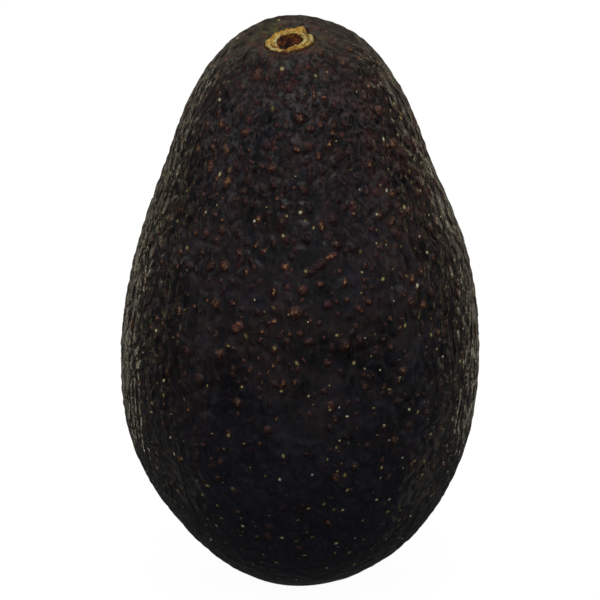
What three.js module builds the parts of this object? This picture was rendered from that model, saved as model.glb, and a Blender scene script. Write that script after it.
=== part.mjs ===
// A whole ripe avocado with its stalk broken off, standing on a small flat spot at its
// blossom end. Millimetres, +Z up. The origin is the middle of the fruit's footprint, on the
// surface that it stands on. The front, where the stem scar lies, faces -Y.
import * as THREE from 'three';
import { ConvexHull } from 'three/addons/math/ConvexHull.js';

const { clamp, degToRad, lerp, smoothstep } = THREE.MathUtils;

// ---- driving dimensions, in millimetres, with angles in radians ----

const LENGTH = 105.5; // blossom pole to stem pole, before the flat spot is taken off
const WIDTH = 64.6; // across the widest part
const FLAT_SPOT = 1.05; // how much of the length the flat spot takes off

// The fruit's half-width against that of a plain egg of its length and width, at even steps
// from the blossom pole to the stem pole: full below, drawn in at the neck.
const FULLNESS = [1.074, 1.079, 1.083, 1.077, 1.015, 0.937, 0.845, 0.864, 0.904, 0.901];
// How far the middle of the fruit lies to the right of its axis, at the same steps.
const DRIFT = [-0.8, 0.2, 0.5, -0.1, 0, 0.25, -0.25, -0.45, -0.5, -1.4];
const LEAN = 3; // how far the stem pole lies forward of the blossom pole

// The skin is a close net of low pebbles. The smooth fruit passes through their crowns, and
// the valleys run where they meet.
const PEBBLES = 900;
const STRAY = 0.65; // the span in which a pebble lies round its even place, in spacings
const CROWN_RADIUS = 0.29; // in spacings
const CROWN_POINTS = 4;
const CROWN_SPREAD = 0.35; // from the lowest crown to the highest
const VALLEY_DEPTH = 0.65;
const NECK_RELIEF = 0.6; // the relief round the stem, against that on the belly
const FADE = 7; // the relief dies out over this distance towards the flat spot
const CLOSEST = 0.6; // no two points of the relief are nearer than this

// The stem scar is a raised ring of torn, corky tissue round a pit, in a narrow groove. It
// lies forward of the stem pole and faces more nearly up than the skin round it.
const SCAR_FROM_POLE = degToRad(17); // in the egg's own angle
const SCAR_AZIMUTH = degToRad(-97.7);
const SCAR_TILT = degToRad(20); // of its axis, from straight up towards the front
const SCAR_DIP = degToRad(5); // and to the left
const PIT_RADIUS = 2.3;
const PIT_DEPTH = 1.7;
const RING_RADIUS = 3.9;
const RING_CREST = 0.3;
const RING_OVAL = 0.09; // how far the scar's radii swell and shrink, as a share of them
const RING_OVAL_TURN = degToRad(15); // of its long way, from the right towards the back
const GROOVE_WIDTH = 0.65;
const GROOVE_DEPTH = 0.4;
const SCAR_CLEARANCE = 6.4; // the relief stays farther than this from the scar's middle
const EDGE_CLEARANCE = 0.5; // and stays higher than this over the flat spot

// How many points each ring of the mesh has.
const FLAT_SPOT_POINTS = 28;
const PIT_FLOOR_POINTS = 8;
const PIT_POINTS = 14;
const RING_POINTS = 20;

// ---- the smooth fruit ----

// A smooth curve through values at even steps of q from 0 to 1, level at both ends.
function spline(values, q) {
  const last = values.length - 1;
  const i = Math.min(Math.floor(q * last), last - 1);
  const f = q * last - i;
  const a = values[Math.abs(i - 1)];
  const b = values[i];
  const c = values[i + 1];
  const d = values[last - Math.abs(last - i - 2)];
  return b + 0.5 * f * (c - a + f * (2 * a - 5 * b + 4 * c - d + f * (3 * (b - c) + d - a)));
}

// The egg's own angle t runs from 0 at the blossom pole to PI at the stem pole.
function halfWidth(t) {
  return 0.5 * WIDTH * Math.sin(t) * spline(FULLNESS, t / Math.PI);
}

function heightAt(t) {
  return 0.5 * LENGTH * (1 - Math.cos(t)) - FLAT_SPOT;
}

function fruitPoint(t, azimuth) {
  const x = spline(DRIFT, t / Math.PI) + halfWidth(t) * Math.cos(azimuth);
  const y = halfWidth(t) * Math.sin(azimuth) - LEAN * (heightAt(t) / LENGTH) ** 2;
  return new THREE.Vector3(x, y, heightAt(t));
}

function fruitNormal(t, azimuth) {
  const step = 1e-4;
  const around = fruitPoint(t, azimuth + step).sub(fruitPoint(t, azimuth - step));
  const along = fruitPoint(t + step, azimuth).sub(fruitPoint(t - step, azimuth));
  return around.cross(along).normalize();
}

// ---- the fruit's skin laid out on a unit sphere ----

// For even steps of t: the area of skin below, and the colatitude on a unit sphere where
// small shapes keep the proportions that they have on the fruit.
function skinTables() {
  const steps = 1440;
  const angles = [0];
  const areas = [0];
  const stretches = [0];
  for (let k = 1; k <= steps; k++) {
    const t = (Math.PI * k) / steps;
    const before = angles[k - 1];
    const reach = halfWidth(0.5 * (t + before));
    const arc = Math.hypot(halfWidth(t) - halfWidth(before), heightAt(t) - heightAt(before));
    angles.push(t);
    areas.push(areas[k - 1] + 2 * Math.PI * reach * arc);
    stretches.push(stretches[k - 1] + arc / reach);
  }
  const middle = stretches[steps / 2];
  const colatitudes = stretches.map((stretch) => 2 * Math.atan(Math.exp(stretch - middle)));
  colatitudes[0] = 0;
  colatitudes[steps] = Math.PI;
  return { angles, areas, colatitudes };
}

const skin = skinTables();
const skinArea = skin.areas.at(-1);
const pebbleSpacing = Math.sqrt(skinArea / PEBBLES);

// The value that stands beside a key, between the two nearest keys of a rising list.
function lookUp(key, keys, values) {
  const next = Math.max(1, keys.findIndex((listed) => listed >= key));
  const share = (key - keys[next - 1]) / (keys[next] - keys[next - 1]);
  return lerp(values[next - 1], values[next], share);
}

function directionOf(t, azimuth) {
  const colatitude = lookUp(t, skin.angles, skin.colatitudes);
  const reach = Math.sin(colatitude);
  return new THREE.Vector3(reach * Math.cos(azimuth), reach * Math.sin(azimuth), -Math.cos(colatitude));
}

function anglesOf(direction) {
  const t = lookUp(Math.acos(-direction.z), skin.colatitudes, skin.angles);
  return [t, Math.atan2(direction.y, direction.x)];
}

// How many millimetres of skin one radian of the sphere stands for here.
function scaleAt(direction) {
  const [t] = anglesOf(direction);
  return halfWidth(t) / Math.hypot(direction.x, direction.y);
}

// The direction that lies this far over the skin from another one. Turns run from the right,
// seen from outside, towards the stem pole.
function beside(direction, distance, turn) {
  const angle = distance / scaleAt(direction);
  const east = new THREE.Vector3(-direction.y, direction.x, 0).normalize();
  const north = direction.clone().cross(east);
  const sideways = east.multiplyScalar(Math.cos(turn)).addScaledVector(north, Math.sin(turn));
  return direction.clone().multiplyScalar(Math.cos(angle)).addScaledVector(sideways, Math.sin(angle));
}

// A vertex raised from the smooth fruit. Its direction on the sphere decides its neighbours.
function vertexOn(direction, height) {
  const [t, azimuth] = anglesOf(direction);
  const position = fruitPoint(t, azimuth).addScaledVector(fruitNormal(t, azimuth), height);
  return { direction, position };
}

// ---- the pebbled skin ----

const flatSpotAngle = Math.acos(1 - FLAT_SPOT / (0.5 * LENGTH));
const flatSpotRadius = halfWidth(flatSpotAngle);

// How strongly the skin is pebbled: fully on the belly, less round the stem, and less and
// less towards the flat spot.
function reliefAt(t) {
  const towardsStem = smoothstep(t / Math.PI, 0.5, 0.85);
  const offFlatSpot = t < Math.PI / 2 ? smoothstep(halfWidth(t) - flatSpotRadius, 0, FADE) : 1;
  return lerp(1, NECK_RELIEF, towardsStem) * offFlatSpot;
}

function skinVertex(direction, height) {
  const [t] = anglesOf(direction);
  return vertexOn(direction, height * reliefAt(t));
}

// A number from 0 to 1 that is always the same for the same index and draw.
function random(index, draw) {
  const wave = Math.sin(index * 12.9898 + draw * 78.233) * 43758.5453;
  return wave - Math.floor(wave);
}

// The pebbles wind round the fruit by the golden angle, each with an equal share of skin, and
// stray from that even place.
function pebbleMiddle(index) {
  const goldenAngle = Math.PI * (3 - Math.sqrt(5));
  const evenArea = (skinArea * (index + 0.5)) / PEBBLES;
  const reach = halfWidth(lookUp(evenArea, skin.areas, skin.angles));
  const along = (random(index, 1) - 0.5) * STRAY * pebbleSpacing;
  const around = (random(index, 2) - 0.5) * STRAY * pebbleSpacing;
  const strayedArea = clamp(evenArea + 2 * Math.PI * reach * along, 0, skinArea);
  return directionOf(lookUp(strayedArea, skin.areas, skin.angles), index * goldenAngle + around / reach);
}

// A pebble's crown is a few points round its middle, all at one height.
function crownVertices(middle, index) {
  const height = (random(index, 3) - 0.5) * CROWN_SPREAD;
  return evenly(CROWN_POINTS, random(index, 4)).map((turn) => {
    return skinVertex(beside(middle, CROWN_RADIUS * pebbleSpacing, turn), height);
  });
}

function skinVertices() {
  const middles = Array.from({ length: PEBBLES }, (_, index) => pebbleMiddle(index));
  // Three neighbouring pebbles meet where the face between their middles looks.
  const valleys = trianglesBetween(middles).map((corners) => {
    const [a, b, c] = corners.map((corner) => middles[corner]);
    return skinVertex(new THREE.Triangle(a, b, c).getNormal(new THREE.Vector3()), -VALLEY_DEPTH);
  });
  return thinned([...middles.flatMap(crownVertices), ...valleys].filter(isClear));
}

// The relief stays clear of the stem scar and of the flat spot's edge.
function isClear({ direction, position }) {
  const offScar = scar.direction.angleTo(direction) * scaleAt(scar.direction);
  return offScar > SCAR_CLEARANCE && position.z > EDGE_CLEARANCE;
}

// Without the vertices that lie too close to one before them in the list.
function thinned(vertices) {
  const kept = [];
  for (const vertex of vertices) {
    if (kept.every(({ position }) => position.distanceTo(vertex.position) > CLOSEST)) {
      kept.push(vertex);
    }
  }
  return kept;
}

function flatSpotVertices() {
  const edge = evenly(FLAT_SPOT_POINTS).map((azimuth) => vertexOn(directionOf(flatSpotAngle, azimuth), 0));
  edge.forEach(({ position }) => position.setZ(0));
  return [...edge, { direction: new THREE.Vector3(0, 0, -1), position: new THREE.Vector3(DRIFT[0], 0, 0) }];
}

// ---- the stem scar ----

const scar = scarPlace();

// The scar's middle, on the sphere and on the fruit, and the three axes of its own plane.
function scarPlace() {
  const t = Math.PI - SCAR_FROM_POLE;
  const axis = new THREE.Vector3(-Math.sin(SCAR_DIP), -Math.sin(SCAR_TILT), Math.cos(SCAR_TILT)).normalize();
  const right = new THREE.Vector3(1, 0, 0).projectOnPlane(axis).normalize();
  const back = axis.clone().cross(right);
  return { direction: directionOf(t, SCAR_AZIMUTH), middle: fruitPoint(t, SCAR_AZIMUTH), axis, right, back };
}

// The scar is wider than it is deep, and a little uneven.
function scarRadius(meanRadius, turn) {
  const oval = RING_OVAL * Math.cos(2 * (turn - RING_OVAL_TURN));
  const uneven = 0.4 * RING_OVAL * Math.cos(3 * turn + 1);
  return meanRadius * (1 + oval + uneven);
}

// A ring of vertices in the scar's own plane, or this much over it.
function scarRing(points, meanRadius, height) {
  return evenly(points).map((turn) => {
    const radius = scarRadius(meanRadius, turn);
    const position = scar.middle.clone().addScaledVector(scar.axis, height);
    position.addScaledVector(scar.right, radius * Math.cos(turn));
    position.addScaledVector(scar.back, radius * Math.sin(turn));
    return { direction: beside(scar.direction, radius, turn), position };
  });
}

// A ring of vertices on the skin round the scar, half a step on from the scar's own.
function skinRing(meanRadius, height) {
  return evenly(RING_POINTS, 0.5).map((turn) => {
    return vertexOn(beside(scar.direction, scarRadius(meanRadius, turn), turn), height);
  });
}

function scarVertices() {
  const floorMiddle = scar.middle.clone().addScaledVector(scar.axis, -PIT_DEPTH);
  return [
    { direction: scar.direction, position: floorMiddle },
    ...scarRing(PIT_FLOOR_POINTS, 0.6 * PIT_RADIUS, -PIT_DEPTH),
    ...scarRing(PIT_POINTS, PIT_RADIUS, 0),
    ...scarRing(RING_POINTS, 0.5 * (PIT_RADIUS + RING_RADIUS), RING_CREST),
    ...scarRing(RING_POINTS, RING_RADIUS, 0),
    ...skinRing(RING_RADIUS + GROOVE_WIDTH, -GROOVE_DEPTH),
    ...skinRing(RING_RADIUS + 2 * GROOVE_WIDTH, 0),
  ];
}

// ---- the solid ----

// Even turns round a circle. The first may stand a share of a step on.
function evenly(count, share = 0) {
  return Array.from({ length: count }, (_, i) => (2 * Math.PI * (i + share)) / count);
}

// The triangles between directions on the sphere that are nearest neighbours, which are the
// faces of their hull. Each is three places in the list of directions.
function trianglesBetween(directions) {
  const placeOf = new Map(directions.map((direction, place) => [direction, place]));
  const { faces } = new ConvexHull().setFromPoints(directions);
  return faces.map(({ edge }) => [edge.prev, edge, edge.next].map((side) => placeOf.get(side.head().point)));
}

function avocado() {
  const vertices = [...skinVertices(), ...flatSpotVertices(), ...scarVertices()];
  const geometry = new THREE.BufferGeometry().setFromPoints(vertices.map(({ position }) => position));
  geometry.setIndex(trianglesBetween(vertices.map(({ direction }) => direction)).flat());
  geometry.computeBoundingBox();
  const { x, y } = geometry.boundingBox.getCenter(new THREE.Vector3());
  geometry.translate(-x, -y, 0);
  geometry.computeVertexNormals();
  const ripeSkin = new THREE.MeshStandardMaterial({ color: 0x221e1f, roughness: 0.5, metalness: 0 });
  const mesh = new THREE.Mesh(geometry, ripeSkin);
  mesh.name = 'avocado';
  return mesh;
}

const fruit = new THREE.Group();
fruit.add(avocado());

export default fruit;
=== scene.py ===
# A ripe avocado with a dark, pebbled skin and a torn stem scar. The skin repeats the smooth form
# of the CAD fruit, stands for that node, and adds what the solid leaves out: life-size pebbles,
# red-brown tips, pale specks and the creases round the stem. The scar is a piece of its own.
# Where nothing else is said, lengths are in millimetres and angles in radians. The scene itself is
# in metres. The fruit stands on z = 0 with its stem end up, and its front faces -Y.
import math

import bmesh
import bpy
import numpy as np
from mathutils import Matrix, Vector, kdtree, noise


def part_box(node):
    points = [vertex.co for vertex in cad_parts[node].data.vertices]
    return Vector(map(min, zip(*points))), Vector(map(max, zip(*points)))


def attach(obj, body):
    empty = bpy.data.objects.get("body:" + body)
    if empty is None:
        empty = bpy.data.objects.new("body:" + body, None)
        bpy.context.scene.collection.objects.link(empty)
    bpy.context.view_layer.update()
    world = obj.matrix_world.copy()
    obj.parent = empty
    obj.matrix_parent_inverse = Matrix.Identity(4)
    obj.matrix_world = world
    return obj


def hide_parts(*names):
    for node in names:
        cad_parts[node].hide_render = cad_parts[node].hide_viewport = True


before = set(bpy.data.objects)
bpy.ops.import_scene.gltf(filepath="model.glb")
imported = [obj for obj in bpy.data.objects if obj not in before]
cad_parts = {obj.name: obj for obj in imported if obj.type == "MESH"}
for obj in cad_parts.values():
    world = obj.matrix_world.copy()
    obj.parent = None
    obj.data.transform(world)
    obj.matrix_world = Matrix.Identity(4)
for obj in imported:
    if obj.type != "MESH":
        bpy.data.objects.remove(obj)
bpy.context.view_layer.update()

# ---- the smooth fruit, as the CAD source shapes it ----

MM = 0.001
low_corner, high_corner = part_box("avocado")
FLAT_SPOT = 1.05  # how much of the length the flat spot takes off
LENGTH = high_corner.z / MM + FLAT_SPOT
WIDTH = (high_corner.x - low_corner.x) / MM
LEAN = 3  # how far the stem pole lies forward of the blossom pole
# Half width as a share of a plain ellipse's, at even steps of the egg's own angle from the blossom
# pole to the stem pole. Both lists come from a fit to the photo's outline.
FULLNESS = (1.074, 1.079, 1.083, 1.077, 1.015, 0.937, 0.845, 0.864, 0.904, 0.901)
# How far the middle of the fruit lies to the right of its axis, at the same steps.
DRIFT = (-0.8, 0.2, 0.5, -0.1, 0, 0.25, -0.25, -0.45, -0.5, -1.4)
PROFILE_STEPS = 1440  # from pole to pole, where the fruit is measured
TURN_STEPS = 360  # the same round its axis

# ---- the relief of the skin ----

GRID_STEPS = 128  # along each side of the six squares that the skin's mesh is made of
GATHERING = 0.62  # how far the mesh draws in towards the scar, where detail is finest
GATHERING_REACH = 0.33  # as an angle on the unit sphere
UV_MARGIN = 1.5  # free cells round each square of the UV chart

LUMPS = 900  # the pebbles of the CAD solid, which stay as broad lumps
LUMP_STRAY = 0.65  # in spacings
LUMP_DEPTH = 0.06
LUMP_RISE = 0.8  # how wide the slope from valley to crown is, in spacings
PEBBLES = 2700
PEBBLE_STRAY = 1.5
PEBBLE_DEPTH = 0.17
PEBBLE_RISE = 0.75
PEBBLE_WARP = 0.8  # how far the pebbles' edges wander
WARP_SIZE = 1.9  # of the waves in which they do
CROWN_SPREAD = 0.03  # from the lowest crown to the highest
GRAIN_DEPTH = 0.03
GRAIN_SIZE = 1.5
LIFT = 0.1  # of the whole relief, whose valleys cut into the smooth form
NECK_RELIEF = 0.85  # the relief round the stem, against that on the belly
LOW_RELIEF = 0.8  # the same below the belly
SMOOTH_FRONT = 0.5  # how much of the relief is missing on the lower front
FADE = 7  # the relief dies out over this distance towards the flat spot
FLANKS = (0.6, 0.92)  # where they begin and where they are full, as cosines of the azimuth
STEM_END = (16, 6)  # the same for the mottled skin, as distances from the scar's middle

SPOT_STRAY = 1.8
SMALL_TIPS = 3800  # tried, between those on the pebbles' crowns
TIP_RADIUS = (0.3, 0.92)  # from the smallest red-brown tip to the largest
TIP_HEIGHT = 0.05
TIP_FOOT = 1.3  # where the rise to a tip begins, in its own radii
TIP_GAP = 0.06  # at least, between the edges of two tips
TIPS_FROM_SCAR = 5  # no tip's middle is nearer than this to the scar's middle
SPECKS = 1700  # tried
SPECK_RADIUS = (0.12, 0.32)
SPECK_GAP = 0.8
SPECKS_FROM_SCAR = 6
# Single marks seen on the front: azimuth in degrees, height, radius, stretch, slant in degrees.
MARKS = (
    (-122, 79, 0.9, 1.4, 25), (-71, 84, 1.0, 1.3, -10), (-92, 58, 1.2, 1.1, 70),
    (-87, 64.8, 0.9, 1.3, 62), (-83, 66, 1.0, 1.4, 60), (-79, 67.3, 0.8, 1.4, 66),
    (-112, 66, 0.7, 1.6, 25), (-111, 55, 1.0, 1.2, 40), (-121, 71, 0.75, 1.1, 0),
    (-97, 73, 1.1, 1.3, 15), (-80, 94, 0.6, 2.4, 3), (-85, 81, 0.9, 1.9, 5),
    (-47, 53, 0.65, 1.3, 5), (-50, 28, 0.7, 1.4, 10),
)

CREASE_SPACING = 1.1  # between creases, at CREASE_MIDDLE from the scar's middle
CREASE_MIDDLE = 10
CREASE_LENGTH = 3
CREASE_DEPTH = 0.16
CREASE_REACH = (16, 8)  # where they begin and where they are full, as for STEM_END
CREASE_START = (4, 5)  # the same near the ring
CREASED = (190, 45)  # where they have no breaks: turn and width in degrees
UNCREASED = (-85, 45)  # where there are none, in the same way

# ---- the stem scar ----

SCAR_FROM_POLE = math.radians(17.8)  # in the egg's own angle, 0.8 degrees more than in the solid
SCAR_AZIMUTH = math.radians(-97.7)
SCAR_TILT = math.radians(20)  # of its axis, from straight up towards the front
SCAR_DIP = math.radians(5)  # and to the left
RING_OVAL = 0.09
RING_OVAL_TURN = math.radians(15)
RING_RADIUS = 3.8
# Where the torn ring reaches out or draws in: turn and width in degrees, and how far.
RING_CORNERS = (
    (188, 14, 0.25), (225, 18, -0.25), (145, 18, -0.2), (2, 12, -0.1), (-32, 16, -0.2),
    (57, 12, 0.65), (28, 10, -0.95),
)
CRACKS = ((-50, 45, 0.3), (29, 13, 0.3))  # the gaps between ring and skin, in the same way
LEDGE = (238, 27, 0.6)  # the broken step inside the ring: turn and width in degrees, and depth
FLAKE = (56, 11, 0.75)  # the turned-up flake of the torn edge: the same, and lift
# Colours on the ring and on the skin beside it, with painted highlights on the ring's lips and
# painted shade at the gaps: turn and width in degrees, and strength.
LIP_HIGHLIGHT_SIDES = ((188, 40, 1), (-8, 28, 1))  # of the inner lip
LIP_HIGHLIGHT_STRETCHES = ((222, 30, 1), (0, 25, 0.7))  # of the outer lip
GREEN_END = (5, 32, 1)
OLIVE = ((135, 34, 1), (-5, 14, 0.6))
DARK_BEHIND = (29, 15, 1)
DARK_IN_FRONT = (-50, 40, 0.8)
SHOULDER_REACH = 9.5  # the skin levels out towards the scar's plane from here
SOCKET_EDGE = 0.15  # how far past the ring the socket under the scar begins
SOCKET_SLOPE = 0.6  # how wide its wall is
SOCKET_DEPTH = 2.9

# ---- the camera ----

CAMERA_ELEVATION = math.radians(15)
CAMERA_DISTANCE = 900
CAMERA_RAISE = 0.12  # how far over the middle of the fruit's length the camera aims
LENS = 300
SENSOR = 36

SEED = 11
rng = np.random.default_rng(SEED)
noise.seed_set(SEED)  # unless it is set, noise_vector gives another result in each run


# ---- formulas shared with the CAD source ----


def spline(values, share):
    """A smooth curve through values at even steps of share from 0 to 1, level at both ends."""
    values = np.asarray(values, float)
    last = len(values) - 1
    step = np.minimum((share * last).astype(int), last - 1)
    f = share * last - step
    a = values[np.abs(step - 1)]
    b = values[step]
    c = values[step + 1]
    d = values[last - np.abs(last - step - 2)]
    return b + 0.5 * f * (c - a + f * (2 * a - 5 * b + 4 * c - d + f * (3 * (b - c) + d - a)))


def half_width(t):
    return 0.5 * WIDTH * np.sin(t) * spline(FULLNESS, t / math.pi)


def height_at(t):
    return 0.5 * LENGTH * (1 - np.cos(t)) - FLAT_SPOT


def fruit_point(t, azimuth):
    """Points of the smooth fruit. The egg's own angle t runs from 0 at the blossom pole to pi."""
    t, azimuth = np.broadcast_arrays(np.asarray(t, float), azimuth)
    x = spline(DRIFT, t / math.pi) + half_width(t) * np.cos(azimuth)
    y = half_width(t) * np.sin(azimuth) - LEAN * (height_at(t) / LENGTH) ** 2
    return np.stack([x, y, height_at(t)], axis=-1)


def tables():
    """For even steps of t: the length of skin and the area of skin below."""
    t = np.linspace(0, math.pi, PROFILE_STEPS + 1)
    middle = 0.5 * (t[1:] + t[:-1])
    arcs = np.hypot(np.diff(half_width(t)), np.diff(height_at(t)))
    lengths = np.concatenate([[0], np.cumsum(arcs)])
    areas = np.concatenate([[0], np.cumsum(2 * math.pi * half_width(middle) * arcs)])
    return t, lengths, areas


angles, skin_lengths, skin_areas = tables()
SKIN_LENGTH = skin_lengths[-1]
SKIN_AREA = skin_areas[-1]
FLAT_SPOT_RADIUS = float(half_width(np.arccos(1 - FLAT_SPOT / (0.5 * LENGTH))))
turns = np.linspace(-math.pi, math.pi, TURN_STEPS + 1)
outline = fruit_point(angles[:, None], turns[None, :]).reshape(-1, 3)
CENTRING = -0.5 * (outline.min(axis=0) + outline.max(axis=0)) * (1, 1, 0)


def centred(points):
    """Points of the fruit's own frame in the CAD's, whose origin is the middle of the footprint."""
    return points + CENTRING


def cad_random(index, draw):
    """The CAD source's own draw of a number from 0 to 1."""
    return np.modf(np.sin(index * 12.9898 + draw * 78.233) * 43758.5453)[0] % 1


def scattered(count, stray, draws):
    """Middles that wind over the skin by the golden angle, each strayed from its even place."""
    index = np.arange(count)
    spacing = math.sqrt(SKIN_AREA / count)
    even_area = SKIN_AREA * (index + 0.5) / count
    reach = half_width(np.interp(even_area, skin_areas, angles))
    along, around = (draws - 0.5) * stray * spacing
    area = np.clip(even_area + 2 * math.pi * reach * along, 0, SKIN_AREA)
    azimuth = index * math.pi * (3 - math.sqrt(5)) + around / reach
    return fruit_point(np.interp(area, skin_areas, angles), azimuth)


# ---- the scar's own plane ----


class Scar:
    """The middle of the stem scar and the axes of its plane: right, back and out."""

    t = math.pi - SCAR_FROM_POLE
    middle = fruit_point(t, SCAR_AZIMUTH)
    out = Vector((-math.sin(SCAR_DIP), -math.sin(SCAR_TILT), math.cos(SCAR_TILT))).normalized()
    right = (Vector((1, 0, 0)) - out * out.x).normalized()
    back = out.cross(right)

    @classmethod
    def place(cls, points):
        """How far points lie from the scar's middle: to the right, to the back and outwards."""
        return (points - cls.middle) @ np.array([cls.right, cls.back, cls.out]).T

    @classmethod
    def points(cls, radius, turn, height):
        """Points at a radius and turn in the scar's plane, raised by height."""
        local = np.broadcast_arrays(radius * np.cos(turn), radius * np.sin(turn), height)
        return cls.middle + np.stack(local, axis=-1) @ np.array([cls.right, cls.back, cls.out])


def scar_swell(turn):
    """The scar is wider than it is deep, and a little uneven: its radius as a share of the mean."""
    return 1 + RING_OVAL * np.cos(2 * (turn - RING_OVAL_TURN)) + 0.4 * RING_OVAL * np.cos(3 * turn + 1)


def window(turn, middle, width, height=1):
    """A smooth bump of this height round one turn in degrees."""
    away = (np.degrees(turn) - middle + 180) % 360 - 180
    return height * np.exp(-((away / width) ** 2))


def windows(turn, places):
    """The sum of several such bumps."""
    return sum(window(turn, *place) for place in places)


# ---- mesh helpers ----


def smoothstep(value, start, end):
    share = np.clip((value - start) / (end - start), 0, 1)
    return share * share * (3 - 2 * share)


def noise_at(points, size, octaves=1):
    """Smooth noise, mostly from -1 to 1, in lumps of this size."""
    return np.array([noise.fractal(point, 1.0, 2.0, octaves) for point in points / size])


def noise_shift(points, size):
    """A smooth, random shift for each point, mostly from -1 to 1 on each axis."""
    return np.array([noise.noise_vector(point) for point in points / size])


def tree_of(middles):
    tree = kdtree.KDTree(len(middles))
    for place, middle in enumerate(middles):
        tree.insert(middle, place)
    tree.balance()
    return tree


def nearest(points, middles, count=2):
    """The places of the middles nearest each point, and their distances."""
    tree = tree_of(middles)
    found = [tree.find_n(point, count) for point in points]
    places = np.array([[hit[1] for hit in hits] for hits in found])
    distances = np.array([[hit[2] for hit in hits] for hits in found])
    return places, distances


def mesh_object(name, points, faces, uvs):
    """A smooth mesh object from points in millimetres, with one UV place for each face corner."""
    mesh = bpy.data.meshes.new(name)
    mesh.from_pydata((points * MM).tolist(), [], faces)
    layer = mesh.uv_layers.new(name="OFBake")
    layer.uv.foreach_set("vector", uvs.astype(np.float32).ravel())
    mesh.shade_smooth()
    made = bpy.data.objects.new(name, mesh)
    bpy.context.scene.collection.objects.link(made)
    return made


def set_points(mesh, points):
    mesh.vertices.foreach_set("co", (points * MM).astype(np.float32).ravel())
    mesh.update()


def normals_of(mesh):
    normals = np.zeros(len(mesh.vertices) * 3, np.float32)
    mesh.vertex_normals.foreach_get("vector", normals)
    return normals.reshape(-1, 3).astype(float)


def store(mesh, name, values):
    """Keeps a number for each vertex, for the materials to read."""
    attribute = mesh.attributes.new(name, "FLOAT", "POINT")
    attribute.data.foreach_set("value", values.astype(np.float32).ravel())


def store_vectors(mesh, name, values):
    """Keeps a vector for each corner of each face, for the materials to read."""
    attribute = mesh.attributes.new(name, "FLOAT_VECTOR", "CORNER")
    attribute.data.foreach_set("vector", values.astype(np.float32).ravel())


# ---- the skin ----


def cube_sphere(steps):
    """Directions, four-cornered faces and UV places of a sphere whose grid lies over a cube."""
    line = np.tan(np.linspace(-1, 1, steps + 1) * math.pi / 4)
    across, up = np.meshgrid(line, line)
    corner = np.arange(steps)[:, None] * (steps + 1) + np.arange(steps)
    square = np.stack([corner, corner + 1, corner + steps + 2, corner + steps + 1], axis=-1)
    square = square.reshape(-1, 4)
    margin = UV_MARGIN / steps
    row, column = np.divmod(square, steps + 1)
    directions, faces, uvs = [], [], []
    for side, (axis, sign) in enumerate((axis, sign) for axis in range(3) for sign in (1, -1)):
        points = np.empty((steps + 1, steps + 1, 3))
        points[..., axis] = sign
        points[..., (axis + 1) % 3] = sign * across
        points[..., (axis + 2) % 3] = up
        directions.append(points.reshape(-1, 3))
        faces.append(square + side * (steps + 1) ** 2)
        chart = np.stack([column, row], axis=-1) / steps * (1 - 2 * margin) + margin
        uvs.append((chart + (axis, (1 - sign) // 2)) / (3, 2))
    directions = np.concatenate(directions)
    directions /= np.linalg.norm(directions, axis=1, keepdims=True)
    _, first, merged = np.unique(directions.round(6), axis=0, return_index=True, return_inverse=True)
    return directions[first], merged.reshape(-1)[np.concatenate(faces)], np.concatenate(uvs)


def gathered(directions, towards):
    """Turns a square's middle to one direction, and draws the others in towards it."""
    turned = directions @ np.array(Vector((0, 0, 1)).rotation_difference(towards).to_matrix()).T
    towards = np.array(towards)
    angle = np.arccos(np.clip(turned @ towards, -1, 1))
    nearer = angle * (1 - GATHERING * np.exp(-((angle / GATHERING_REACH) ** 2)))
    sideways = turned - np.outer(turned @ towards, towards)
    sideways /= np.maximum(np.linalg.norm(sideways, axis=1, keepdims=True), 1e-9)
    return np.outer(np.cos(nearer), towards) + sideways * np.sin(nearer)[:, None]


def sphere_direction(t, azimuth):
    """Where a place on the skin lies on the unit sphere: even lengths of skin take even angles."""
    colatitude = math.pi * np.interp(t, angles, skin_lengths) / SKIN_LENGTH
    reach = math.sin(colatitude)
    return Vector((reach * math.cos(azimuth), reach * math.sin(azimuth), -math.cos(colatitude)))


def smooth_skin(directions):
    """The smooth fruit's point for each direction on the unit sphere, and the angle t there."""
    colatitude = np.arccos(np.clip(-directions[:, 2], -1, 1))
    t = np.interp(colatitude / math.pi * SKIN_LENGTH, skin_lengths, angles)
    return fruit_point(t, np.arctan2(directions[:, 1], directions[:, 0])), t


def swelling(share):
    """A soft hill over shares from 0 at its foot to 1 at its middle, level at both."""
    return 0.5 - 0.5 * np.cos(math.pi * np.clip(share, 0, 1))


def roughness_of(t, azimuth):
    """How rough the skin is, from its smoothest on the belly's lower front to 1."""
    return 1 - SMOOTH_FRONT * window(azimuth, -90, 50) * smoothstep(t / math.pi, 0.66, 0.45)


def relief_strength(t):
    """How strong the pebbles are: full on the belly, less below it and round the stem, and none at
    the flat spot."""
    towards_stem = smoothstep(t / math.pi, 0.5, 0.85)
    off_flat_spot = smoothstep(half_width(t) - FLAT_SPOT_RADIUS, 0, FADE)
    off_flat_spot = np.where(t < math.pi / 2, off_flat_spot, 1)
    belly = LOW_RELIEF + (1 - LOW_RELIEF) * smoothstep(t / math.pi, 0.35, 0.5)
    return belly * (1 + (NECK_RELIEF - 1) * towards_stem) * off_flat_spot


def apart(middles, radii, gap):
    """Which middles to keep so that no two come nearer than this gap between their edges."""
    tree = tree_of(middles)
    kept = np.ones(len(middles), bool)
    for place, middle in enumerate(middles):
        for _, other, distance in tree.find_range(middle, 2 * radii.max() + gap):
            if other < place and kept[other] and distance < radii[place] + radii[other] + gap:
                kept[place] = False
    return kept


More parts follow.
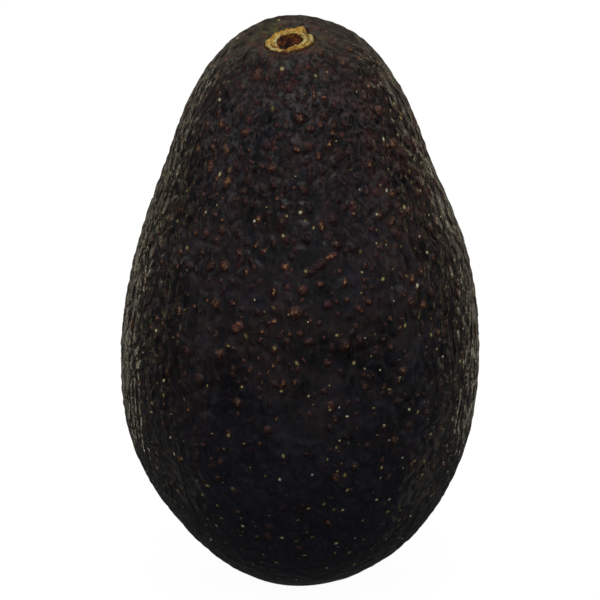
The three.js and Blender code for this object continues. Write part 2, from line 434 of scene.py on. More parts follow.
def skin_axes(middles):
    """The skin's own axes at points on it: across to the right, along towards the stem, and out."""
    t = np.interp(middles[:, 2], height_at(angles), angles)
    inwards = fruit_point(t, 0) - np.stack([half_width(t), 0 * t, 0 * t], axis=-1)
    azimuth = np.arctan2(middles[:, 1] - inwards[:, 1], middles[:, 0] - inwards[:, 0])
    across = np.stack([-np.sin(azimuth), np.cos(azimuth), 0 * t], axis=-1)
    step = 0.01
    along = fruit_point(t + step, azimuth) - fruit_point(t - step, azimuth)
    along /= np.linalg.norm(along, axis=1, keepdims=True)
    return across, along, np.cross(across, along)


class Spots:
    """Oval spots on the skin, each with its middle, radius, two tones, and its own axes in which
    a length of 1 reaches the spot's edge."""

    def __init__(self, middles, radii, stretch, slant):
        self.middles = middles
        self.radii = radii
        self.tones = rng.random((len(radii), 2))
        across, along, out = skin_axes(middles)
        turn = slant[:, None]
        longer = along * np.cos(turn) + across * np.sin(turn)
        shorter = across * np.cos(turn) - along * np.sin(turn)
        wide, long = (radii / stretch)[:, None], (radii * stretch)[:, None]
        self.axes = np.stack([shorter / wide, longer / long, out / radii[:, None]], axis=1)

    def seen_from(self, spot, points):
        """Points, one or more for each spot in a list, in those spots' own axes."""
        away = points - self.middles[spot].reshape(len(spot), *[1] * (points.ndim - 2), 3)
        return np.einsum("nij,n...j->n...i", self.axes[spot], away)

    def nearest(self, points):
        """The place of the spot whose edge is nearest each point."""
        places, _ = nearest(points, self.middles, 5)
        edges = [(np.linalg.norm(self.seen_from(column, points), axis=1) - 1) * self.radii[column]
                 for column in places.T]
        return places[np.arange(len(points)), np.argmin(edges, axis=0)]

    def store(self, mesh, name, corners):
        """Lets a material draw spots that are finer than the mesh. Each face knows one spot: its
        corners' places in that spot's axes, and the spot's radius and tones."""
        spot = self.nearest(corners.mean(axis=1))
        store_vectors(mesh, name + "_offset", self.seen_from(spot, corners))
        traits = np.column_stack([self.radii, self.tones])
        store_vectors(mesh, name + "_traits", np.repeat(traits[spot], 4, axis=0))


def crease_places(points):
    """Places for a noise whose lumps are folds that run out from the stem scar, and how clear the
    folds are there."""
    right, back, out = Scar.place(points).T
    distance = np.maximum(np.hypot(right, back), 1e-6) + np.maximum(-out - 2 * SHOULDER_REACH, 0)
    wheel = CREASE_MIDDLE / CREASE_SPACING / distance
    places = np.stack([right * wheel, back * wheel, distance / CREASE_LENGTH], axis=-1)
    places += 0.6 * noise_shift(points, 5) + 0.3 * noise_shift(points, 1.6)
    patches = smoothstep(noise_at(points + 40, 7), -0.3, 0.3)
    turn = np.arctan2(back, right)
    patches = np.maximum(patches, window(turn, *CREASED))
    clearness = smoothstep(distance, *CREASE_REACH) * smoothstep(distance, *CREASE_START)
    clearness *= 1 - window(turn, *UNCREASED)
    return places, clearness * (0.3 + 0.7 * patches)


def round_scar(points):
    """For points near the scar: their turn and distance round its axis, how far they lie past the
    edge of the ring, and their height over the scar's plane. Points far below that plane count as
    far away, also where the axis leaves the fruit again."""
    right, back, out = Scar.place(points).T
    distance = np.hypot(right, back) + np.maximum(-out - 2 * SHOULDER_REACH, 0)
    turn = np.arctan2(back, right)
    past = distance - RING_RADIUS * scar_swell(turn) - windows(turn, RING_CORNERS)
    return turn, distance, past, out


def scar_seat(points):
    """How far the skin moves outwards, to level with the scar's plane and then sink below it."""
    turn, distance, past, out = round_scar(points)
    past = past - windows(turn, CRACKS)
    levelled = -out * smoothstep(distance, SHOULDER_REACH, distance - past)
    sunk = -SOCKET_DEPTH * smoothstep(past, SOCKET_EDGE, SOCKET_EDGE - SOCKET_SLOPE)
    near = np.linalg.norm(points - Scar.middle, axis=1) < 2 * SHOULDER_REACH
    return np.where(near, levelled + sunk, 0)


def olive_tint(points):
    """Where the skin stays greenish round the scar: at the back on the left, and on the right."""
    turn, distance, _, _ = round_scar(points)
    left, right = OLIVE
    return smoothstep(distance, 8.5, 4.8) * np.maximum(window(turn, *left), window(turn, *right))


def gap_shade(points):
    """Where painted shade darkens the skin beside the gap where it has come away from the ring."""
    turn, _, past, _ = round_scar(points)
    behind = window(turn, *DARK_BEHIND) * smoothstep(past, 1.5, 0.9)
    in_front = window(turn, *DARK_IN_FRONT) * smoothstep(past, 0.7, 0.3)
    return np.maximum(behind, in_front)


def red_tips(crowns):
    """The red-brown tips: the marks seen on the front, tips on many of the pebbles' crowns, and
    smaller ones between them. They are densest in the upper half and in patches."""
    marks = np.array(MARKS)
    t = np.interp(marks[:, 1], height_at(angles), angles)
    strays = scattered(SMALL_TIPS, SPOT_STRAY, rng.random((2, SMALL_TIPS)))
    middles = np.concatenate([fruit_point(t, np.radians(marks[:, 0])), crowns, strays])
    count = len(middles)
    on_crown = np.arange(count) < len(marks) + len(crowns)
    upper = smoothstep(middles[:, 2] / LENGTH, 0.2, 0.6)
    patches = noise_at(middles, 10, 2)
    chance = np.where(on_crown, 0.4 + 0.4 * upper, 0.2 + 0.3 * upper) + 0.4 * patches
    small, large = TIP_RADIUS
    rarity = np.where(on_crown, 1.5, 2.5) * (2 - upper)
    radii = small + (large - small) * rng.random(count) ** rarity
    stretch = 1 + 0.5 * rng.random(count) ** 2
    slant = 0.5 * rng.standard_normal(count)
    radii[:len(marks)] = marks[:, 2]
    stretch[:len(marks)] = marks[:, 3]
    slant[:len(marks)] = np.radians(marks[:, 4])
    wanted = rng.random(count) < chance
    wanted &= np.linalg.norm(middles - Scar.middle, axis=1) > TIPS_FROM_SCAR
    wanted[:len(marks)] = True
    wanted[wanted] = apart(middles[wanted], (radii * stretch ** 0.5)[wanted], TIP_GAP)
    wanted[:len(marks)] = True
    return Spots(middles[wanted], radii[wanted], stretch[wanted], slant[wanted])


def pale_specks():
    """The pale specks: most of them low down and towards the sides, most of all on the right, and
    fewest near the stem. They are uneven in size."""
    middles = scattered(SPECKS, SPOT_STRAY, rng.random((2, SPECKS)))
    rightness = middles[:, 0] / (0.5 * WIDTH)
    chance = 0.28 + 0.15 * rightness + 0.45 * np.abs(rightness) ** 1.5
    chance += 0.5 * noise_at(middles + 90, 9, 2)
    chance += 0.45 * smoothstep(middles[:, 2] / LENGTH, 0.4, 0.22)
    chance -= 0.25 * smoothstep(middles[:, 2] / LENGTH, 0.76, 0.86)
    small, large = SPECK_RADIUS
    radii = small + (large - small) * rng.random(SPECKS) ** 1.4
    wanted = rng.random(SPECKS) < chance
    wanted &= np.linalg.norm(middles - Scar.middle, axis=1) > SPECKS_FROM_SCAR
    wanted[wanted] = apart(middles[wanted], radii[wanted], SPECK_GAP)
    stretch = 1 + 0.35 * rng.random(SPECKS)
    slant = rng.standard_normal(SPECKS)
    return Spots(middles[wanted], radii[wanted], stretch[wanted], slant[wanted])


def hills(points, middles, rise):
    """Hills that cover the skin, one for each middle, as heights from 0 in the valleys to 1 on the
    crowns. With them comes the place of the hill on which each point lies."""
    places, gaps = nearest(points, middles)
    spacing = math.sqrt(SKIN_AREA / len(middles))
    return swelling((gaps[:, 1] - gaps[:, 0]) / spacing / rise), places[:, 0]


def pebble_relief(smooth):
    """The height of the pebbled relief at full strength, its pebbles as hills, and their middles."""
    wandering = smooth + PEBBLE_WARP * noise_shift(smooth, WARP_SIZE)
    index = np.arange(LUMPS)
    lump_draws = np.stack([cad_random(index, 1), cad_random(index, 2)])
    lumps, _ = hills(wandering, scattered(LUMPS, LUMP_STRAY, lump_draws), LUMP_RISE)
    middles = scattered(PEBBLES, PEBBLE_STRAY, rng.random((2, PEBBLES)))
    pebbles, own_pebble = hills(wandering, middles, PEBBLE_RISE)
    crowns = CROWN_SPREAD * (rng.random(PEBBLES) - 0.5)[own_pebble]
    relief = LIFT + LUMP_DEPTH * (lumps - 1) + PEBBLE_DEPTH * (pebbles - 1)
    relief += crowns * pebbles
    relief += GRAIN_DEPTH * noise_at(smooth, GRAIN_SIZE, 2)
    return relief, pebbles, middles


def skin():
    """The whole skin: one closed mesh, sunk to a socket under the stem scar."""
    directions, faces, uvs = cube_sphere(GRID_STEPS)
    directions = gathered(directions, sphere_direction(Scar.t, SCAR_AZIMUTH))
    azimuth = np.arctan2(directions[:, 1], directions[:, 0])
    smooth, t = smooth_skin(directions)
    made = mesh_object("avocado_skin", smooth, faces.tolist(), uvs)
    mesh = made.data
    normals = normals_of(mesh)

    relief, pebbles, middles = pebble_relief(smooth)
    tips = red_tips(middles)
    from_tip = np.linalg.norm(tips.seen_from(tips.nearest(smooth), smooth), axis=1)
    relief += TIP_HEIGHT * swelling(TIP_FOOT - from_tip)
    rough = roughness_of(t, azimuth)
    relief *= relief_strength(t) * rough
    crease_place, crease_share = crease_places(smooth)
    relief += CREASE_DEPTH * noise_at(crease_place, 1, 2) * crease_share
    points = smooth + normals * relief[:, None] + np.outer(scar_seat(smooth), Scar.out)
    points[:, 2] = np.maximum(points[:, 2], 0)
    set_points(mesh, centred(points))

    tips.store(mesh, "tip", smooth[faces])
    pale_specks().store(mesh, "speck", smooth[faces])
    store(mesh, "pebble", pebbles)
    flank = smoothstep(np.abs(np.cos(azimuth)), *FLANKS)
    store(mesh, "flank", flank)
    store(mesh, "rough", rough * (0.8 + 1.2 * flank))
    store(mesh, "creased", crease_share)
    store_vectors(mesh, "crease_place", crease_place[faces])
    store(mesh, "olive", olive_tint(smooth))
    # painted shade beside the gap at the ring
    store(mesh, "gap", gap_shade(smooth))
    store(mesh, "stem", smoothstep(np.linalg.norm(smooth - Scar.middle, axis=1), *STEM_END))
    return made


# ---- the stem scar's piece ----

# The section from the middle of the pit's floor, up the wall, over the torn ring and down its
# outer side to a hidden base: radius, and height over the scar's plane.
SCAR_SECTION = np.array([
    (0, -1.8), (0.8, -1.75), (1.5, -1.6), (1.95, -1.15), (2.2, -0.5), (2.32, 0.05),
    (2.5, 0.34), (2.78, 0.26), (3.05, 0.1), (3.35, 0.14), (3.62, 0.24), (3.85, 0.05),
    (3.95, -0.3), (3.8, -0.9), (3.3, -2.3), (0, -2.4),
])
RING_LEVEL = 0.17  # the mean height of the ring's upper side
SCAR_TURNS = 240
SCAR_ROWS = 110


def wheel_faces(rows, turns):
    """Faces of rows of points round an axis, closed by a middle point before and one after."""
    start = 1 + np.arange(rows * turns).reshape(rows, turns)
    after = np.roll(start, -1, axis=1)
    sides = np.stack([start[:-1], start[1:], after[1:], after[:-1]], axis=-1).reshape(-1, 4).tolist()
    first = np.stack([np.zeros(turns, int), start[0], after[0]], axis=-1).tolist()
    last = np.stack([start[-1], np.full(turns, rows * turns + 1), after[-1]], axis=-1).tolist()
    return first + sides + last


def wheel_noise(wheel, stretch, shift, octaves):
    """Noise for rows of points round an axis, squeezed by the stretch along each axis."""
    return noise_at((wheel * stretch + shift).reshape(-1, 3), 1, octaves).reshape(wheel.shape[:2])


def torn_ring(share, turn):
    """The scar's radius and height for shares of the way along its section, at each turn. With
    them come how far it stands over the ring's mean level, and where its ledge is."""
    radius = spline(SCAR_SECTION[:, 0], share)
    height = spline(SCAR_SECTION[:, 1], share)
    upper = smoothstep(height, -1.1, -0.1)
    rim = smoothstep(radius, 1.9, 2.4) * upper
    outer = smoothstep(radius, 3.2, 4.0) * upper
    pit = smoothstep(share, 0.36, 0.26)
    oval = 0.35 + 0.65 * smoothstep(radius, 2.3, 3.9)  # the pit is rounder than the ring

    wheel = np.stack(np.broadcast_arrays(np.cos(turn), np.sin(turn), radius / 1.6), axis=-1)
    coarse = wheel_noise(wheel, 2.2, 0, 2)
    fibres = wheel_noise(wheel, (9, 9, 1.2), 7, 2)
    crumbs = wheel_noise(wheel, (6, 6, 5), 31, 3)
    ragged = wheel_noise(wheel, (5, 5, 0), 53, 3)
    radius = radius * scar_swell(turn) ** oval * (1 + 0.05 * coarse * rim)
    radius = radius + outer * (windows(turn, RING_CORNERS) + 0.2 * ragged)
    torn = rim * (0.22 * coarse + 0.3 * crumbs) + pit * (0.3 * fibres + 0.15 * crumbs)
    ledge_turn, ledge_width, ledge_depth = LEDGE
    ledge = window(turn, ledge_turn, ledge_width)
    ledge = ledge * smoothstep(radius, 1.6, 2.1) * smoothstep(radius, 3.2, 2.8)
    crest = height + rim * 0.3 * coarse - RING_LEVEL
    height = height + torn + outer * window(turn, *FLAKE) - ledge_depth * ledge * rim
    return radius, height, crest, ledge


def lip_highlights(share, turn):
    """Where the ring's lips get painted highlights: on its inner lip, most at the sides, and in
    stretches of the outer.
    """
    inner_lip = smoothstep(share, 0.34, 0.38) * smoothstep(share, 0.5, 0.44)
    outer_lip = smoothstep(share, 0.6, 0.64) * smoothstep(share, 0.74, 0.7)
    sides = 0.35 + 0.65 * windows(turn, LIP_HIGHLIGHT_SIDES)
    return inner_lip * sides + outer_lip * windows(turn, LIP_HIGHLIGHT_STRETCHES)


def stem_scar():
    """The torn ring of corky tissue round the pit, as one closed mesh."""
    share = np.linspace(0, 1, SCAR_ROWS + 2)[1:-1, None]
    turn = (2 * math.pi * np.arange(SCAR_TURNS) / SCAR_TURNS)[None, :]
    radius, height, crest, ledge = torn_ring(share, turn)
    floor, base = (Scar.points(0, 0, SCAR_SECTION[end, 1]).reshape(1, 3) for end in (0, -1))
    points = np.concatenate([floor, Scar.points(radius, turn, height).reshape(-1, 3), base])
    faces = wheel_faces(SCAR_ROWS, SCAR_TURNS)
    disc = 0.5 + 0.49 * share[..., None] * np.stack([np.cos(turn), np.sin(turn)], axis=-1)
    places = np.concatenate([[(0.5, 0.5)], disc.reshape(-1, 2), [(0.99, 0.5)]])
    corners = np.array([corner for face in faces for corner in face])
    made = mesh_object("stem_scar", centred(points), faces, places[corners])

    marks = {"section": share, "crest": crest, "ledge": ledge}
    marks |= {"green_end": window(turn, *GREEN_END), "lip_highlight": lip_highlights(share, turn)}
    for name, values in marks.items():
        values = np.broadcast_to(values, height.shape)
        store(made.data, name, np.concatenate([[values[0, 0]], values.ravel(), [values[-1, 0]]]))
    return made


# ---- materials ----


def tint(*display):
    """The linear colour of a display colour from 0 to 255."""
    shares = [part / 255 for part in display]
    return *(((share + 0.055) / 1.055) ** 2.4 if share > 0.04 else share / 12.92 for share in shares), 1


class Shader:
    """Builds one material. A value here is a number or another node's output."""

    def __init__(self, name):
        self.material = bpy.data.materials.new(name)
        self.material.use_nodes = True
        self.tree = self.material.node_tree
        self.place = self.node("TexCoord").outputs["Object"]
        self.colour = None

    def feed(self, made, inputs):
        """Gives a node values for its inputs, by name or place."""
        for name, value in inputs.items():
            if isinstance(value, bpy.types.NodeSocket):
                self.tree.links.new(value, made.inputs[name])
            else:
                made.inputs[name].default_value = value

    def node(self, kind, inputs=None, **settings):
        made = self.tree.nodes.new("ShaderNode" + kind)
        for name, value in settings.items():
            setattr(made, name, value)
        self.feed(made, inputs or {})
        return made

    def maths(self, operation, *values):
        return self.node("Math", dict(enumerate(values)), operation=operation).outputs[0]

    def times(self, first, *others):
        """The product of all these values."""
        for other in others:
            first = self.maths("MULTIPLY", first, other)
        return first

    def line(self, value, slope, start):
        """A straight line: start + slope * value."""
        return self.maths("MULTIPLY_ADD", value, slope, start)

    def step(self, value, start, end):
        """0 up to start and 1 from end on, smoothly. Start may be the larger."""
        inputs = {0: value, 1: start, 2: end, 3: 0.0, 4: 1.0}
        return self.node("MapRange", inputs, interpolation_type="SMOOTHSTEP").outputs[0]

    def mixed(self, share, first, second, blend_type="MIX"):
        inputs = {0: share, 6: first, 7: second}
        return self.node("Mix", inputs, data_type="RGBA", blend_type=blend_type).outputs[2]

    def lay(self, colour, *shares):
        """Lays a colour over what is there, as thickly as the product of the shares says."""
        self.colour = self.mixed(self.times(*shares), self.colour, colour)

    def grain(self, size, detail=2.0, roughness=0.5, place=None):
        """Noise from 0 to 1 whose lumps are this many millimetres across."""
        place = self.place if place is None else place
        inputs = {"Vector": place, "Scale": 1 / (size * MM), "Detail": detail, "Roughness": roughness}
        return self.node("TexNoise", inputs).outputs[0]

    def read(self, name, output="Fac"):
        """What the mesh stores under a name."""
        return self.node("Attribute", attribute_name=name).outputs[output]

    def from_spot(self, name, wander, size):
        """How far a place lies from the nearest spot's middle, as a share of the way to its uneven
        edge, with that spot's radius in millimetres and its two tones."""
        offset = self.read(name + "_offset", "Vector")
        distance = self.node("VectorMath", {0: offset}, operation="LENGTH").outputs["Value"]
        traits = self.node("SeparateXYZ", {0: self.read(name + "_traits", "Vector")}).outputs
        uneven = self.maths("SUBTRACT", self.grain(size, 3.0, 0.6), 0.5)
        reach = self.maths("DIVIDE", uneven, traits[0])
        return self.line(reach, 2 * wander, distance), *traits

    def finished(self, raised, unit, **inputs):
        """The material, with its colour as it stands, bumps that are raised so many units high,
        and other inputs of its surface."""
        bump = self.node("Bump", {"Strength": 1.0, "Distance": unit, "Height": raised})
        surface = self.tree.nodes["Principled BSDF"]
        self.feed(surface, {"Base Color": self.colour, "Normal": bump.outputs["Normal"], **inputs})
        return self.material


class SkinShader(Shader):
    """The ripe skin. Each step lays its colours over those of the step before."""

    def __init__(self):
        super().__init__("ripe_skin")
        self.side, _, self.height = self.node("SeparateXYZ", {0: self.place}).outputs
        self.upper = self.step(self.height, 16 * MM, 56 * MM)
        self.top = self.step(self.height, 66 * MM, 95 * MM)
        self.middling = self.grain(3.2, 4.0, 0.6)
        self.fine = self.grain(0.8, 4.0, 0.6)
        upright = self.node("VectorMath", {0: self.place, 1: (1, 1, 0.4)}, operation="MULTIPLY")
        net = self.grain(2.6, 0.6, 0.5, upright.outputs["Vector"])
        self.off_ridge = self.maths("ABSOLUTE", self.line(net, 2, -1))
        folds = {"Vector": self.read("crease_place", "Vector"), "Scale": 1.8, "Detail": 4.0}
        self.folds = self.node("TexNoise", folds).outputs[0]
        self.creased = self.read("creased")
        self.pebble = self.read("pebble")
        self.stem = self.read("stem")
        self.flank = self.read("flank")
        self.low_flank = self.times(self.flank, self.line(self.top, -0.8, 1))

    def ground(self):
        """Purple and brown in broad patches, browner at the upper right, with bluish, reddish and
        nearly black patches on it. Both are paler low down: painted light for the dimmer lower half."""
        # painted light: the lower colours are paler to make up for the dimmer light low down; their
        # bluer hue is the skin's own
        purple = self.mixed(self.upper, tint(48, 50, 61), tint(40, 37, 43))
        brown = self.mixed(self.upper, tint(51, 49, 55), tint(40, 31, 32))
        browner = self.line(self.times(self.side, 1 / (90 * MM)), self.top, self.grain(13, 3.0))
        browner = self.line(self.upper, 0.14, browner)
        self.colour = self.mixed(self.step(browner, 0.52, 0.76), purple, brown)
        self.lay(tint(22, 27, 42), self.step(self.grain(2.8), 0.5, 0.62), self.upper, 0.5)
        reddish = self.line(self.top, 0.4, self.line(self.upper, 0.16, 0.02))
        self.lay(tint(62, 37, 37), self.step(self.middling, 0.47, 0.6), reddish)
        right_shoulder = self.step(self.side, 7 * MM, 19 * MM)
        right_shoulder = self.times(right_shoulder, self.step(self.height, 58 * MM, 80 * MM))
        self.lay(tint(84, 44, 38), self.step(self.middling, 0.38, 0.56), right_shoulder, 0.55)
        self.lay(tint(13, 12, 18), self.step(self.middling, 0.48, 0.34), self.line(self.top, 0.5, 0.2))

    def shading(self):
        """Lighter and darker grain of three sizes. The finest is strongest near the stem. The broadest,
        strongest on the belly, is partly painted sheen of broad undulations.
        """
        top, upper = self.top, self.upper
        shade = 1
        for grain, contrast in (
            (self.fine, self.line(top, 7.5, 0.8)),
            (self.middling, self.line(top, 1.4, self.line(upper, 0.8, 0.2))),
            # partly painted sheen: broad lighter and darker patches, strongest on the belly
            (self.grain(7), self.line(top, -2.2, self.line(upper, 3.8, 0.2))),
        ):
            shade = self.line(self.maths("SUBTRACT", grain, 0.5), contrast, shade)
        shade = self.maths("MAXIMUM", shade, 0.3)
        grey = self.node("CombineXYZ", {0: shade, 1: shade, 2: shade}).outputs[0]
        self.colour = self.mixed(1, self.colour, grey, "MULTIPLY")
        self.lay(tint(94, 84, 77), self.step(self.fine, 0.52, 0.7), self.line(top, 0.75, 0.1))
        self.lay(tint(12, 11, 14), self.step(self.fine, 0.46, 0.3), self.line(top, 0.6, 0.1))

    def ridges(self):
        """Painted light, clearest on the flanks: a net of fine, pale ridges as painted highlights, with
        painted shade in the hollows between them and in the valleys between the pebbles."""
        # painted highlight on the ridges, strongest on the lower flanks
        ridge_highlight = self.line(self.low_flank, 0.5, self.line(self.upper, 0.1, 0.03))
        self.lay(tint(92, 86, 66), self.step(self.off_ridge, 0.14, 0.0), ridge_highlight)
        # painted shade in the hollows between the ridges and in the pebbles' valleys
        self.lay(tint(12, 11, 14), self.step(self.off_ridge, 0.15, 0.4), self.flank, 0.7)
        self.lay(tint(18, 17, 21), self.step(self.pebble, 0.4, 0.0), self.line(self.flank, 0.35, 0.3))

    def round_stem(self):
        """Painted light and shade on the folds, a reddish and greyish mottling, the olive skin at the
        ring, and painted shade beside the gap at the ring.
        """
        # painted highlight on the fold crests and painted shade in their hollows
        self.lay(tint(84, 78, 70), self.step(self.folds, 0.52, 0.66), self.creased, 0.8)
        self.lay(tint(16, 13, 15), self.step(self.folds, 0.46, 0.34), self.creased)
        mottling = self.grain(1.3, 4.0, 0.65)
        self.lay(tint(88, 52, 46), self.step(mottling, 0.52, 0.64), self.stem)
        self.lay(tint(84, 80, 70), self.step(mottling, 0.48, 0.36), self.stem)
        self.lay(tint(100, 98, 44), self.read("olive"), self.step(self.fine, 0.4, 0.6))
        # painted shade beside the gap at the ring
        self.lay(tint(20, 13, 10), self.read("gap"))

    def tips(self):
        """The red-brown tips, each with a faint blush and painted shade in the groove round it, and with
        pale cork on the crown of some that is partly painted glints, more of them towards the sides."""
        tip, radius, tone, other_tone = self.from_spot("tip", 0.55, 0.65)
        clearness = self.times(self.line(other_tone, 0.7, 0.3), self.line(self.upper, 0.45, 0.55))
        clearness = self.times(clearness, self.line(self.flank, -0.3, 1))
        self.lay(tint(46, 28, 31), self.step(tip, 1.9, 0.9), clearness, 0.5)
        # painted shade in the groove at each tip's foot
        off_groove = self.maths("ABSOLUTE", self.maths("SUBTRACT", tip, 1.25))
        self.lay(tint(22, 13, 16), self.step(off_groove, 0.25, 0.0), 0.45)
        crumbs = self.grain(0.45, 3.0, 0.6)
        colour = self.mixed(tone, tint(66, 38, 40), tint(122, 76, 68))
        colour = self.mixed(self.step(crumbs, 0.52, 0.36), colour, tint(42, 22, 25))
        # partly painted glints: pale crowns on some tips, more of them towards the sides
        aside = self.times(self.maths("ABSOLUTE", self.side), 1 / (50 * MM))
        cork_and_glint = self.step(self.maths("ADD", other_tone, aside), 0.55, 1)
        cork_and_glint = self.times(cork_and_glint, self.step(tip, 0.8, 0.25), self.step(crumbs, 0.5, 0.62))
        colour = self.mixed(cork_and_glint, colour, tint(210, 158, 98))
        self.tip_share = self.step(tip, 1.2, 0.7)
        self.lay(colour, self.tip_share, clearness)
        self.dome = self.times(self.step(tip, 1.35, 0.1), radius)

    def specks(self):
        """The pale specks, from olive to nearly white, each in a brownish halo."""
        speck, _, tone, other_tone = self.from_spot("speck", 0.07, 0.3)
        self.lay(tint(100, 76, 38), self.step(speck, 2.2, 1.0), 0.5)
        colour = self.mixed(self.step(tone, 0.0, 0.6), tint(124, 114, 66), tint(206, 196, 134))
        colour = self.mixed(self.step(tone, 0.6, 0.9), colour, tint(255, 250, 214))
        self.speck_share = self.times(self.step(speck, 1.15, 0.75), self.step(other_tone, -0.6, 0.5))
        self.lay(colour, self.speck_share)

    def roughness(self):
        """The skin is glossiest on its ridges and tips, and dullest on the shoulders and at the stem."""
        rough = self.line(self.middling, 0.2, 0.06)
        rough = self.line(self.step(self.off_ridge, 0.08, 0.4), 0.18, rough)
        rough = self.line(self.tip_share, -0.1, rough)
        rough = self.line(self.maths("SUBTRACT", self.flank, self.low_flank), 0.06, rough)
        return self.line(self.stem, 0.2, rough)

    def raised(self):
        """All that raises the skin more finely than its mesh does, in millimetres."""
        raised = self.times(self.fine, self.line(self.flank, -0.03, 0.04))
        raised = self.line(self.dome, self.line(self.flank, -0.3, 0.48), raised)
        raised = self.line(self.times(self.folds, self.creased), 0.36, raised)
        lumps = self.times(self.pebble, self.line(self.upper, 0.12, 0.06))
        lumps = self.line(self.step(self.off_ridge, 0.45, 0.0), 0.12, lumps)
        raised = self.line(lumps, self.read("rough"), raised)
        return self.line(self.speck_share, 0.06, raised)


def skin_material():
    shader = SkinShader()
    shader.ground()
    shader.shading()
    shader.ridges()
    shader.round_stem()
    shader.tips()
    shader.specks()
    gloss = {"Specular IOR Level": 0.25, "Roughness": shader.roughness()}
    return shader.finished(shader.raised(), MM, **gloss)


def scar_material():
    """Torn, corky tissue: yellow with painted highlights on its lips, painted shade in brown in its
    hollows, brown on its edges, dark in the pit.
    """
    shader = Shader("torn_stem_tissue")
    section = shader.read("section")
    patches = shader.grain(0.9, 4.0, 0.6)
    fibre = shader.grain(0.25, 3.0, 0.6)
    shader.colour = tint(255, 220, 112)
    shader.lay(tint(226, 164, 60), shader.step(patches, 0.4, 0.66))
    # painted shade: brown where the ring's surface lies low, in its hollows
    crest = shader.line(patches, 0.2, shader.read("crest"))
    shader.lay(tint(150, 92, 30), shader.step(crest, 0.12, -0.04))
    shader.lay(tint(214, 206, 112), shader.read("green_end"), 0.5)
    # painted highlights on the ring's lips
    lip_highlight = shader.line(shader.grain(0.45, 3.0, 0.6), -1.5, shader.read("lip_highlight"))
    shader.lay(tint(255, 240, 166), shader.step(lip_highlight, -0.55, -0.1))
    shader.lay(tint(126, 72, 22), shader.step(shader.grain(0.6, 4.0, 0.7), 0.52, 0.64), 0.75)
    shader.lay(tint(178, 104, 48), shader.step(shader.read("ledge"), 0.3, 0.6))
    shader.lay(tint(84, 52, 20), shader.step(shader.line(fibre, 0.06, section), 0.78, 0.84))
    strands = shader.step(shader.line(fibre, 0.5, patches), 0.68, 0.86)
    wall = shader.mixed(strands, tint(62, 26, 12), tint(168, 98, 42))
    shader.lay(wall, shader.step(shader.line(fibre, -0.08, section), 0.31, 0.25))
    floor = shader.mixed(strands, tint(30, 11, 7), tint(138, 72, 30))
    shader.lay(floor, shader.step(shader.line(fibre, -0.16, section), 0.2, 0.08))
    return shader.finished(fibre, 0.16 * MM, Roughness=0.6)


# ---- the studio ----

STAGE_RADIUS = 4  # metres
FLOOR_GLOW = 0.97
FLOOR_LIT = 0.1  # how much of the lights' own light the floor takes
WORLD_GLOW = 0.04
LIGHT_DISTANCE = 1.05  # metres, from the middle of the fruit
# Pairs of soft lights: azimuth from the front and elevation in degrees, size in metres and watts.
# The strengths started from a fit to the photo's brightness and were then changed.
LIGHTS = (
    (12, -20, (0.5, 0.5), 0.1),
    (15, 15, (0.9, 0.8), 0.43),
    (40, 15, (0.6, 0.6), 0.12),
    (12, 60, (0.5, 0.8), 1.35),
    (70, 0, (0.4, 0.6), 0.2),
    (70, 30, (0.4, 0.6), 0.54),
    (75, 60, (0.4, 0.4), 0.47),
    (110, -35, (0.3, 0.5), 0.12),
    (118, 8, (0.06, 0.9), 0.42),
    (145, 40, (0.06, 0.5), 0.62),
    (150, 0, (0.04, 0.9), 0.36),
    (160, 0, (0.5, 0.6), 0.1),
    (170, 50, (0.2, 0.4), 0.42),
)
WARM = (1, 0.9, 0.64)


def stage_material(name, glow, lit):
    """A plain white that glows by itself and takes this share of the lights' own light."""
    material = bpy.data.materials.new(name)
    material.use_nodes = True
    surface = material.node_tree.nodes["Principled BSDF"]
    surface.inputs["Base Color"].default_value = (lit, lit, lit, 1)
    surface.inputs["Specular IOR Level"].default_value = 0
    surface.inputs["Emission Color"].default_value = (1, 1, 1, 1)
    surface.inputs["Emission Strength"].default_value = glow
    return material


def stage_object(name, mesh_maker, material):
    """A piece of the stage that the camera sees and that sends no light on to the fruit."""
    mesh = bpy.data.meshes.new(name)
    shape = bmesh.new()
    mesh_maker(shape)
    shape.to_mesh(mesh)
    shape.free()
    mesh.materials.append(material)
    made = bpy.data.objects.new(name, mesh)
    bpy.context.scene.collection.objects.link(made)
    made.visible_diffuse = False
    made.visible_glossy = False
    made.visible_shadow = False


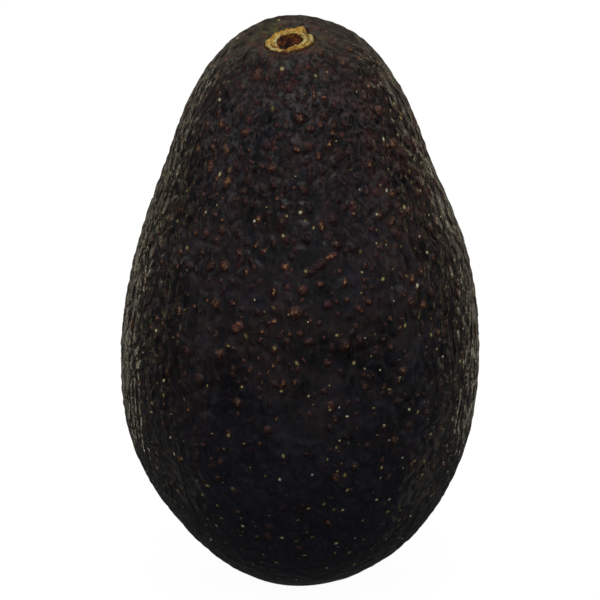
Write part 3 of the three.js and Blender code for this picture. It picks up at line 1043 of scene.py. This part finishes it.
def area_light(name, azimuth, elevation, size, watts):
    """A soft rectangular light on a sphere round the fruit. Azimuth runs from the front to the
    right, in degrees, and sizes are in metres."""
    data = bpy.data.lights.new(name, "AREA")
    data.color = WARM if abs(azimuth) > 90 else (1, 1, 1)
    data.shape = "RECTANGLE"
    data.size, data.size_y = size
    data.energy = watts
    light = bpy.data.objects.new(name, data)
    across, up = math.radians(azimuth), math.radians(elevation)
    away = Vector((math.cos(up) * math.sin(across), -math.cos(up) * math.cos(across), math.sin(up)))
    light.location = Vector((0, 0, 0.5 * LENGTH * MM)) + LIGHT_DISTANCE * away
    light.rotation_euler = away.to_track_quat("Z", "Y").to_euler()
    light.visible_camera = False
    bpy.context.scene.collection.objects.link(light)


def studio():
    scene = bpy.context.scene
    scene.view_settings.view_transform = "Standard"
    scene.world = bpy.data.worlds.new("studio")
    scene.world.use_nodes = True
    background = scene.world.node_tree.nodes["Background"]
    background.inputs["Color"].default_value = (1, 1, 1, 1)
    background.inputs["Strength"].default_value = WORLD_GLOW

    def floor(shape):
        bmesh.ops.create_circle(shape, cap_ends=True, segments=96, radius=STAGE_RADIUS)

    def backdrop(shape):
        bmesh.ops.create_icosphere(shape, subdivisions=4, radius=STAGE_RADIUS)

    stage_object("floor", floor, stage_material("pale_floor", FLOOR_GLOW, FLOOR_LIT))
    stage_object("backdrop", backdrop, stage_material("white_backdrop", 1.0, 0))

    for azimuth, elevation, size, watts in LIGHTS:
        for side in (-1, 1):
            area_light(f"light_{side * azimuth}_{elevation}", side * azimuth, elevation, size, watts)


def camera():
    data = bpy.data.cameras.new("camera")
    data.lens = LENS
    data.sensor_width = SENSOR
    made = bpy.data.objects.new("camera", data)
    aim = Vector(CENTRING) + Vector((0, 0, 0.5 * LENGTH - FLAT_SPOT + CAMERA_RAISE))
    back = Vector((0, -math.cos(CAMERA_ELEVATION), math.sin(CAMERA_ELEVATION)))
    made.location = (aim + CAMERA_DISTANCE * back) * MM
    made.rotation_euler = back.to_track_quat("Z", "Y").to_euler()
    bpy.context.scene.collection.objects.link(made)
    bpy.context.scene.camera = made


# ---- the object ----

fruit_skin = skin()
fruit_skin.data.materials.append(skin_material())
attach(fruit_skin, "root")
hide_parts("avocado")

scar = stem_scar()
scar.data.materials.append(scar_material())
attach(scar, "root")

studio()
camera()
